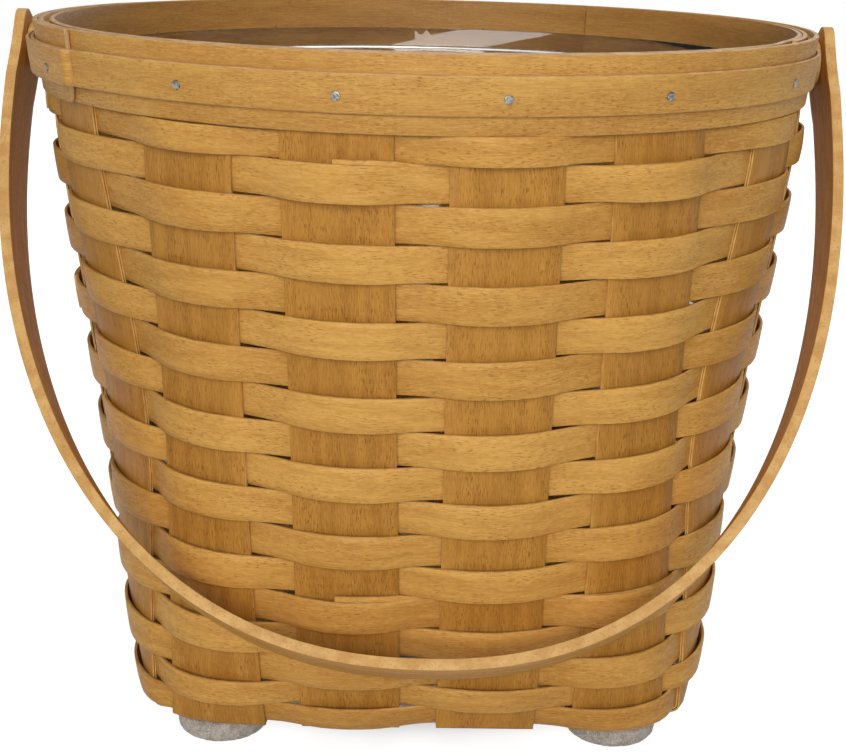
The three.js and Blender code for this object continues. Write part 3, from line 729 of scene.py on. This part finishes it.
def rimStrip(name, node, edges, middle, lap, lift, sizes, tone, under=None, cut=0, curl=0.0):
    thickness, rounding = sizes
    start, end = lap[0], lap[1] + 360
    turns = np.linspace(start, end, int(math.ceil((end - start) / rim["step"])) + 1)
    turns = np.append(turns[:-1], turns[-1] - np.array(rim["lastSteps"]))
    climbed = np.clip((turns - (start + 360 - rim["early"]) + rim["ramp"]) / rim["ramp"], 0, 1)
    climbed = climbed * climbed * (3 - 2 * climbed)
    share = np.linspace(0, 1, rim["across"] + 1)
    heights = np.linspace(*edges, rim["across"] + 1) - wall["floor"]
    bent = curl * np.clip(1 - (turns[-1] - turns) / rim["curlTurn"], 0, 1) ** 2
    out = middle + lift * climbed - bent + (under(turns) if under else 0)
    reach = sideReach(heights)[None, :] + out[:, None]
    angle = np.radians(turns)[:, None] + cut * cutEnd(turns[:, None], share[None, :], end) / rim["radius"]
    points = np.stack([reach * np.sin(angle) + wall["middle"], -reach * np.cos(angle),
                       np.broadcast_to(heights + wall["floor"], reach.shape)], -1)
    along = np.radians(turns)[:, None] * rim["radius"] + rim["grainStart"][0]
    strip = grid(name, points, along, (heights - heights[0] + rim["grainStart"][1])[None, :],
                 tone=tone, cover=0.0)
    # the inner band takes the darker wood: painted shade of the basket's inside
    dress(strip, shadedInsideWood if middle < 0 else rimWood, rimEdge)
    thicken(strip, thickness, rounding, 3)
    place(strip, "basket", node)
    return strip


bandSizes = (rim["bandThickness"], rim["bandRounding"])
trimSizes = (rim["trimThickness"], rim["trimRounding"])
rimStrip("outerBand", "outer_band", bandEdges, bandMiddle, rim["bandLap"], bandStep, bandSizes,
         tone=0.1, cut=1)
rimStrip("innerBand", "inner_band", bandEdges, -bandMiddle, rim["innerLap"], -bandStep, bandSizes,
         tone=0.5)
trimStrip = rimStrip("trimStrip", "trim_strip", trimEdges, trimMiddle, rim["trimLap"], trimStep, trimSizes,
                     tone=-0.2, under=overBand, curl=rim["curl"])
print("rim bent")


# Nails, one through the rim at each stake

nail = {
    "head": 1.7 * mm, "headThickness": 0.7 * mm, "shank": 0.72 * mm,
    "tip": 1.4 * mm, "point": 0.1 * mm,    # length and end of the tip
    "crown": 0.07 * mm,                    # the head swells this much
    "crownSteps": (1, 0.3), "crownInset": 0.35,
    "rounding": 0.12 * mm,
    "proud": 0.5 * mm,                     # the head stands this far off the trim
    "slope": 0.10,                         # the wall leans out this much, and the nails with it
}
bpy.context.view_layer.update()            # the ray casts below need the finished trim


def nailHead():
    head = cylinder(28, nail["head"], nail["headThickness"])
    bpy.ops.object.mode_set(mode="EDIT")
    bpy.ops.mesh.select_all(action="DESELECT")
    bpy.ops.object.mode_set(mode="OBJECT")
    for face in head.data.polygons:
        face.select = face.normal.z > 0.9
    bpy.ops.object.mode_set(mode="EDIT")
    for share in nail["crownSteps"]:
        bpy.ops.mesh.inset(thickness=nail["head"] * nail["crownInset"])
        bpy.ops.transform.translate(value=(0, 0, nail["crown"] * share))
    bpy.ops.object.mode_set(mode="OBJECT")
    bevel(head, nail["rounding"], 2)
    return head


def nailPiece(number):
    node = f"nail_{number:02d}"
    low, high = lowHigh(node)
    middle = Vector((low + high) / 2)
    outwards = Vector((middle.x - wall["middle"], middle.y, 0)).normalized()
    outwards = (outwards - Vector((0, 0, nail["slope"]))).normalized()
    size = Vector(high - low)
    inside = (abs(size.x * outwards.x) + abs(size.y * outwards.y)) / (outwards.x ** 2 + outwards.y ** 2) / 2
    # a ray from outside the rim finds the trim, and the head stands proud of it
    spot = trimStrip.ray_cast(middle + outwards * 3 * inside, -outwards)[1]
    reach = (spot - middle).dot(outwards) + nail["proud"]
    head = nailHead()
    head.data.transform(Matrix.Translation((0, 0, reach - nail["headThickness"] / 2 - nail["crown"])))
    length = reach + inside - nail["headThickness"] - nail["tip"]
    shank = cylinder(12, nail["shank"], length)
    shank.data.transform(Matrix.Translation((0, 0, reach - nail["headThickness"] - length / 2)))
    deselect()
    bpy.ops.mesh.primitive_cone_add(vertices=12, radius1=nail["shank"], radius2=nail["point"],
                                    depth=nail["tip"], rotation=(math.pi, 0, 0),
                                    location=(0, 0, nail["tip"] / 2 - inside))
    bpy.ops.object.transform_apply(location=True, rotation=True, scale=True)
    piece = joined([head, shank, bpy.context.object], f"wireNail{number:02d}")
    piece.data.transform(Matrix.Translation(middle) @ outwards.to_track_quat("Z", "Y").to_matrix().to_4x4())
    shadeByAngle(piece)
    dress(piece, steel)
    place(piece, "basket", node)


for number in range(1, 17):
    nailPiece(number)
print("nails driven")


# Swing handle, its spacers and rivets

handle = {
    "width": 30 * mm, "thickness": 4.4 * mm,
    "reach": 267 * mm,            # from the pivots to the middle of its lowest point
    "straight": 22 * mm,          # its legs stay straight this far below the pivots
    "end": 12 * mm,               # and stand this far above them
    "curve": 2.27,                # power of the loop, where 2 is an ellipse
    "bow": 0.8 * mm,              # each leg bows out this much
    "lean": 6.6 * mm,             # and the lowest point lies this far to the right
    "seat": 0.3 * mm,
    "cornerRadius": 6.5 * mm, "rounding": 0.9 * mm, "steps": 180, "across": 8,
    "endPoints": (7, 4, 7),       # round its corner, down to the pivot and down its straight
    "closest": 0.05 * mm,         # nearer points are left out
    "grainStart": 0.5,
}


def handlePath():
    leftLeg = lowHigh("spacer_left")[0][0] - handle["seat"] - handle["thickness"] / 2
    rightLeg = lowHigh("spacer_right")[1][0] + handle["seat"] + handle["thickness"] / 2
    leg = (rightLeg - leftLeg) / 2
    half = leg + handle["bow"]
    angle = np.linspace(0, math.pi, handle["steps"] + 1)
    across = -np.sign(np.cos(angle)) * np.abs(np.cos(angle)) ** (2 / handle["curve"]) * half
    down = np.maximum(np.sin(angle), 0) ** (2 / handle["curve"])
    deep = handle["straight"] + (handle["reach"] - handle["straight"]) * down
    loop = np.stack([across + handle["lean"] * (deep / handle["reach"]) ** 2, -deep], 1)
    radius = handle["cornerRadius"]
    corner, above, below = handle["endPoints"]
    rise = np.concatenate([handle["end"] - radius * (1 - np.cos(np.linspace(0, math.pi / 2, corner))),
                           np.linspace(handle["end"] - radius, 0, above)[1:],
                           -np.linspace(0, handle["straight"], below)[1:-1]])
    lean = np.where(rise < 0, -rise / handle["straight"], 0)
    left = np.stack([-(leg + handle["bow"] * lean ** 2), rise], 1)
    right = left[::-1] * (-1, 1)
    path = np.concatenate([left, loop, right])
    path[:, 0] += (leftLeg + rightLeg) / 2
    return path


def handlePiece():
    path = handlePath()
    gaps = np.linalg.norm(np.diff(path, axis=0), axis=1)
    path = path[np.concatenate([[True], gaps > handle["closest"]])]
    along = np.concatenate([[0], np.cumsum(np.linalg.norm(np.diff(path, axis=0), axis=1))])
    radius = handle["cornerRadius"]
    fromEnd = np.minimum(handle["end"] - path[:, 1], radius)
    narrow = radius - np.sqrt(np.maximum(radius ** 2 - (radius - fromEnd) ** 2, 0))
    half = handle["width"] / 2 - narrow
    share = np.linspace(-1, 1, handle["across"] + 1)
    # it hangs so far forward that its lower front edge reaches the node's front
    deep = handle["reach"] + handle["thickness"] / 2
    front = handle["width"] / 2
    tilt = math.asin(-lowHigh("handle")[0][1] / math.hypot(deep, front)) - math.atan2(front, deep)
    forward = half[:, None] * share[None, :]
    up = np.broadcast_to(path[:, 1:2], forward.shape)
    x = np.broadcast_to(path[:, :1], forward.shape)
    y = forward * math.cos(tilt) + up * math.sin(tilt)
    z = up * math.cos(tilt) - forward * math.sin(tilt)
    points = np.stack([x, y + pivot.y, z + pivot.z], -1)
    strap = grid("swingHandle", points, along[:, None], forward + handle["grainStart"],
                 tone=0.0, cover=0.0)
    dress(strap, handleWood, handleEdge)
    thicken(strap, handle["thickness"], handle["rounding"], 3)
    place(strap, "handle", "handle")


handlePiece()
spacer = {"radius": 10 * mm, "rounding": 0.5 * mm}
rivet = {"shank": 2.45 * mm, "head": 5.5 * mm, "headThickness": 1.2 * mm, "rounding": 0.55 * mm}


def spacerPiece(sideName):
    # a turned disc with its axis along X
    low, high = lowHigh(f"spacer_{sideName}")
    disc = cylinder(64, spacer["radius"], high[0] - low[0], tuple((low + high) / 2), alongX=True)
    disc.name = disc.data.name = f"handleSpacer_{sideName}"
    bevel(disc, spacer["rounding"], 3)
    shadeByAngle(disc)
    dress(disc, handleEdge)
    place(disc, "basket", f"spacer_{sideName}")


def rivetPiece(sideName):
    # shank with a flat head at each end, their edges rounded, along X
    low, high = lowHigh(f"rivet_{sideName}")
    sign = -1 if sideName == "left" else 1
    near, far = (high[0], low[0]) if sign < 0 else (low[0], high[0])
    parts = []
    for start, end, radius in ((near, near + sign * rivet["headThickness"], rivet["head"]),
                               (near, far, rivet["shank"]),
                               (far - sign * rivet["headThickness"], far, rivet["head"])):
        middle = ((start + end) / 2, pivot.y, pivot.z)
        part = cylinder(40, radius, abs(end - start), middle, alongX=True)
        if radius == rivet["head"]:
            bevel(part, rivet["rounding"], 4)
        parts.append(part)
    piece = joined(parts, f"handleRivet_{sideName}")
    shadeByAngle(piece)
    dress(piece, steel)
    place(piece, "basket", f"rivet_{sideName}")


for sideName in ("left", "right"):
    spacerPiece(sideName)
    rivetPiece(sideName)
print("handle hung")


# Liner: a thin clear tub with a stepped lip

liner = {
    "wall": 1.2 * mm,
    "inset": 5.7 * mm,            # from the middle of the stakes to the tub
    "fillet": 4.2 * mm,           # radius round its floor
    "lip": 2.4 * mm,              # the lip stands out this far
    "lipHeight": 10 * mm,
    "bend": 1.1 * mm,             # radius of the bends under the lip
    "steps": 144, "rise": 8 * mm, "filletPoints": 6, "bendPoints": 5,
    "floorRing": 0.5,             # share of its floor's reach at which a ring of corners lies
    "rounding": 0.3 * mm,
    "merge": 0.02 * mm,
}


def linerProfile(bottom, top, widest):
    # the tub's middle surface from the centre of its floor to the top of its lip, as height and reach
    half = liner["wall"] / 2
    tubReach = widest - liner["lip"]

    def reachAt(height):
        return min(sideReach(height) - liner["inset"], tubReach) - half

    profile = [(bottom + half, 0.0), (bottom + half, reachAt(bottom) * liner["floorRing"])]
    for angle in np.linspace(0, math.pi / 2, liner["filletPoints"]):
        rise, inwards = 1 - math.cos(angle), 1 - math.sin(angle)
        height = bottom + half + (liner["fillet"] - half) * rise
        profile.append((height, reachAt(height) - liner["fillet"] * inwards))
    ledge = top - liner["lipHeight"]
    start = bottom + liner["fillet"]
    for height in np.arange(start + liner["rise"], ledge - liner["bend"], liner["rise"]):
        profile.append((height, reachAt(height)))
    low, wide, bend = reachAt(ledge), widest - half, liner["bend"]
    for angle in np.linspace(0, math.pi / 2, liner["bendPoints"]):
        profile.append((ledge - bend * (1 - math.sin(angle)), low + bend * (1 - math.cos(angle))))
    for angle in np.linspace(0, math.pi / 2, liner["bendPoints"]):
        profile.append((ledge + bend * (1 - math.cos(angle)), wide - bend * (1 - math.sin(angle))))
    profile.append((top, wide))
    return profile


def linerPiece():
    low, high = lowHigh("liner")
    profile = linerProfile(low[2] - wall["floor"], high[2] - wall["floor"], high[0] - wall["middle"])
    angles = np.linspace(-math.pi, math.pi, liner["steps"] + 1)
    across, away = np.sin(angles), -np.cos(angles)
    lines = []
    for height, reach in profile:
        power = float(sectionPower(height))
        scale = (np.abs(across) ** power + np.abs(away) ** power) ** (-1 / power)
        flat = np.stack([across, away], 1) * (reach * scale)[:, None]
        lines.append(standing(flat, np.full(len(angles), height)))
    tub = grid("clearLiner", np.stack(lines, 1), np.zeros((1, 1)), np.zeros((1, 1)))
    useOnly(tub)
    bpy.ops.object.mode_set(mode="EDIT")
    bpy.ops.mesh.select_all(action="SELECT")
    bpy.ops.mesh.remove_doubles(threshold=liner["merge"])
    bpy.ops.mesh.select_all(action="SELECT")
    bpy.ops.mesh.normals_make_consistent(inside=False)
    bpy.ops.object.mode_set(mode="OBJECT")
    thicken(tub, liner["wall"], liner["rounding"])
    dress(tub, plastic)
    place(tub, "liner", "liner")


linerPiece()
print("liner set")


# Felt feet

foot = {
    "rounding": 2.6 * mm,
    "fuzz": 0.5 * mm, "fuzzSize": 1.6 * mm,   # depth and size of the matted clumps
    "voxel": 0.55 * mm,
}
matting = bpy.data.textures.new("matting", "CLOUDS")
matting.noise_scale = foot["fuzzSize"]
matting.noise_depth = 3


def feltFoot(name):
    low, high = lowHigh(name)
    pad = cylinder(96, (high[0] - low[0] - foot["fuzz"]) / 2, high[2] - low[2], tuple((low + high) / 2))
    pad.name = pad.data.name = "feltPad_" + name[5:]
    bevel(pad, foot["rounding"], 6, 60)
    applyModifier(pad, "REMESH", mode="VOXEL", voxel_size=foot["voxel"])
    applyModifier(pad, "DISPLACE", texture=matting, strength=foot["fuzz"], mid_level=0.5,
                  texture_coords="GLOBAL")
    spots = np.zeros(len(pad.data.vertices) * 3)
    pad.data.vertices.foreach_get("co", spots)
    spots = np.clip(spots.reshape(-1, 3), low, high)    # flat where it stands and where it is glued
    pad.data.vertices.foreach_set("co", spots.ravel())
    shadeSmooth(pad)
    dress(pad, felt)
    place(pad, "basket", name)


for name in ("foot_front_left", "foot_back_left", "foot_front_right", "foot_back_right"):
    feltFoot(name)
print("feet glued")


# Stage, light and camera

stage = {
    "size": 8, "grey": 0.4, "roughness": 0.9,
    "glow": (0.05, 0.84),              # the floor looks white, but its glow fades right under the basket: a painted shadow
    "glowSpan": (60 * mm, 120 * mm),
    "sky": (0.31, 1.0),                # light of the sky on the basket, and as the camera sees it
}
lights = {                             # where it stands, where it points, its size and its watts
    "frontWindow": ((-0.12, -1.9, 0.85), (0, 0, 0.15), (1.3, 1.0), 27),
    "ceiling": ((0.2, -0.5, 2.2), (0, 0, 0.1), (1.8, 1.8), 12),
    "backWindow": ((0.5, 2.1, 1.0), (0, 0, 0.12), (1.8, 1.2), 14),
}


def seenBy(tree, *rays):
    seen = 0.0
    for ray in rays:
        seen = addNode(tree, "Math", seen, addNode(tree, "LightPath", output=f"Is {ray} Ray"),
                       operation="MAXIMUM")
    return seen


def stagePiece():
    deselect()
    bpy.ops.mesh.primitive_plane_add(size=stage["size"])
    floor = bpy.context.object
    floor.name = "paleFloor"
    material, tree, shader = newMaterial("paleFloor")
    spot = addNode(tree, "TexCoord", output="Object")
    away = addNode(tree, "VectorMath", spot, operation="LENGTH")
    # painted shadow: the glow fades out under the basket
    glow = addNode(tree, "MapRange", away, *stage["glowSpan"], *stage["glow"], **smooth)
    glow = addNode(tree, "Math", glow, seenBy(tree, "Camera", "Glossy", "Transmission"),
                   operation="MULTIPLY")
    wire(tree, shader, {"Base Color": (stage["grey"],) * 3 + (1,), "Roughness": stage["roughness"],
                        "Emission Color": (1, 1, 1, 1), "Emission Strength": glow})
    dress(floor, material)


def world():
    sky = bpy.data.worlds.new("studio")
    bpy.context.scene.world = sky
    sky.use_nodes = True
    tree = sky.node_tree
    seen = seenBy(tree, "Camera", "Transmission")
    strength = addNode(tree, "MapRange", seen, 0, 1, *stage["sky"], **smooth)
    wire(tree, tree.nodes["Background"], {"Color": (1, 1, 1, 1), "Strength": strength})


def softLight(name, spot, target, size, power):
    lamp = bpy.data.lights.new(name, "AREA")
    lamp.shape = "RECTANGLE"
    lamp.size, lamp.size_y = size
    lamp.energy = power
    holder = bpy.data.objects.new(name, lamp)
    bpy.context.scene.collection.objects.link(holder)
    holder.location = spot
    holder.rotation_euler = (Vector(target) - Vector(spot)).to_track_quat("-Z", "Y").to_euler()


camera = {
    "lens": 63.25, "sensor": 36.0,
    "spot": (9.78 * mm, -666.0 * mm, 333.67 * mm),
    "pan": -0.0101, "pitch": 0.3013, "roll": 0.0227,   # radians
}


def setCamera():
    pan, pitch, roll = camera["pan"], camera["pitch"], camera["roll"]
    ahead = Vector((math.sin(pan) * math.cos(pitch), math.cos(pan) * math.cos(pitch), -math.sin(pitch)))
    right = Vector((math.cos(pan), -math.sin(pan), 0))
    up = right.cross(ahead)
    leanRight = right * math.cos(roll) + up * math.sin(roll)
    leanUp = up * math.cos(roll) - right * math.sin(roll)
    data = bpy.data.cameras.new("camera")
    data.lens = camera["lens"]
    data.sensor_width = camera["sensor"]
    data.sensor_fit = "HORIZONTAL"
    data.clip_start = 0.01
    holder = bpy.data.objects.new("camera", data)
    bpy.context.scene.collection.objects.link(holder)
    holder.matrix_world = (Matrix.Translation(camera["spot"])
                           @ Matrix((leanRight, leanUp, -ahead)).transposed().to_4x4())
    bpy.context.scene.camera = holder


stagePiece()
world()
for name, values in lights.items():
    softLight(name, *values)
setCamera()
bpy.context.scene.view_settings.view_transform = "Standard"
print("stage lit")
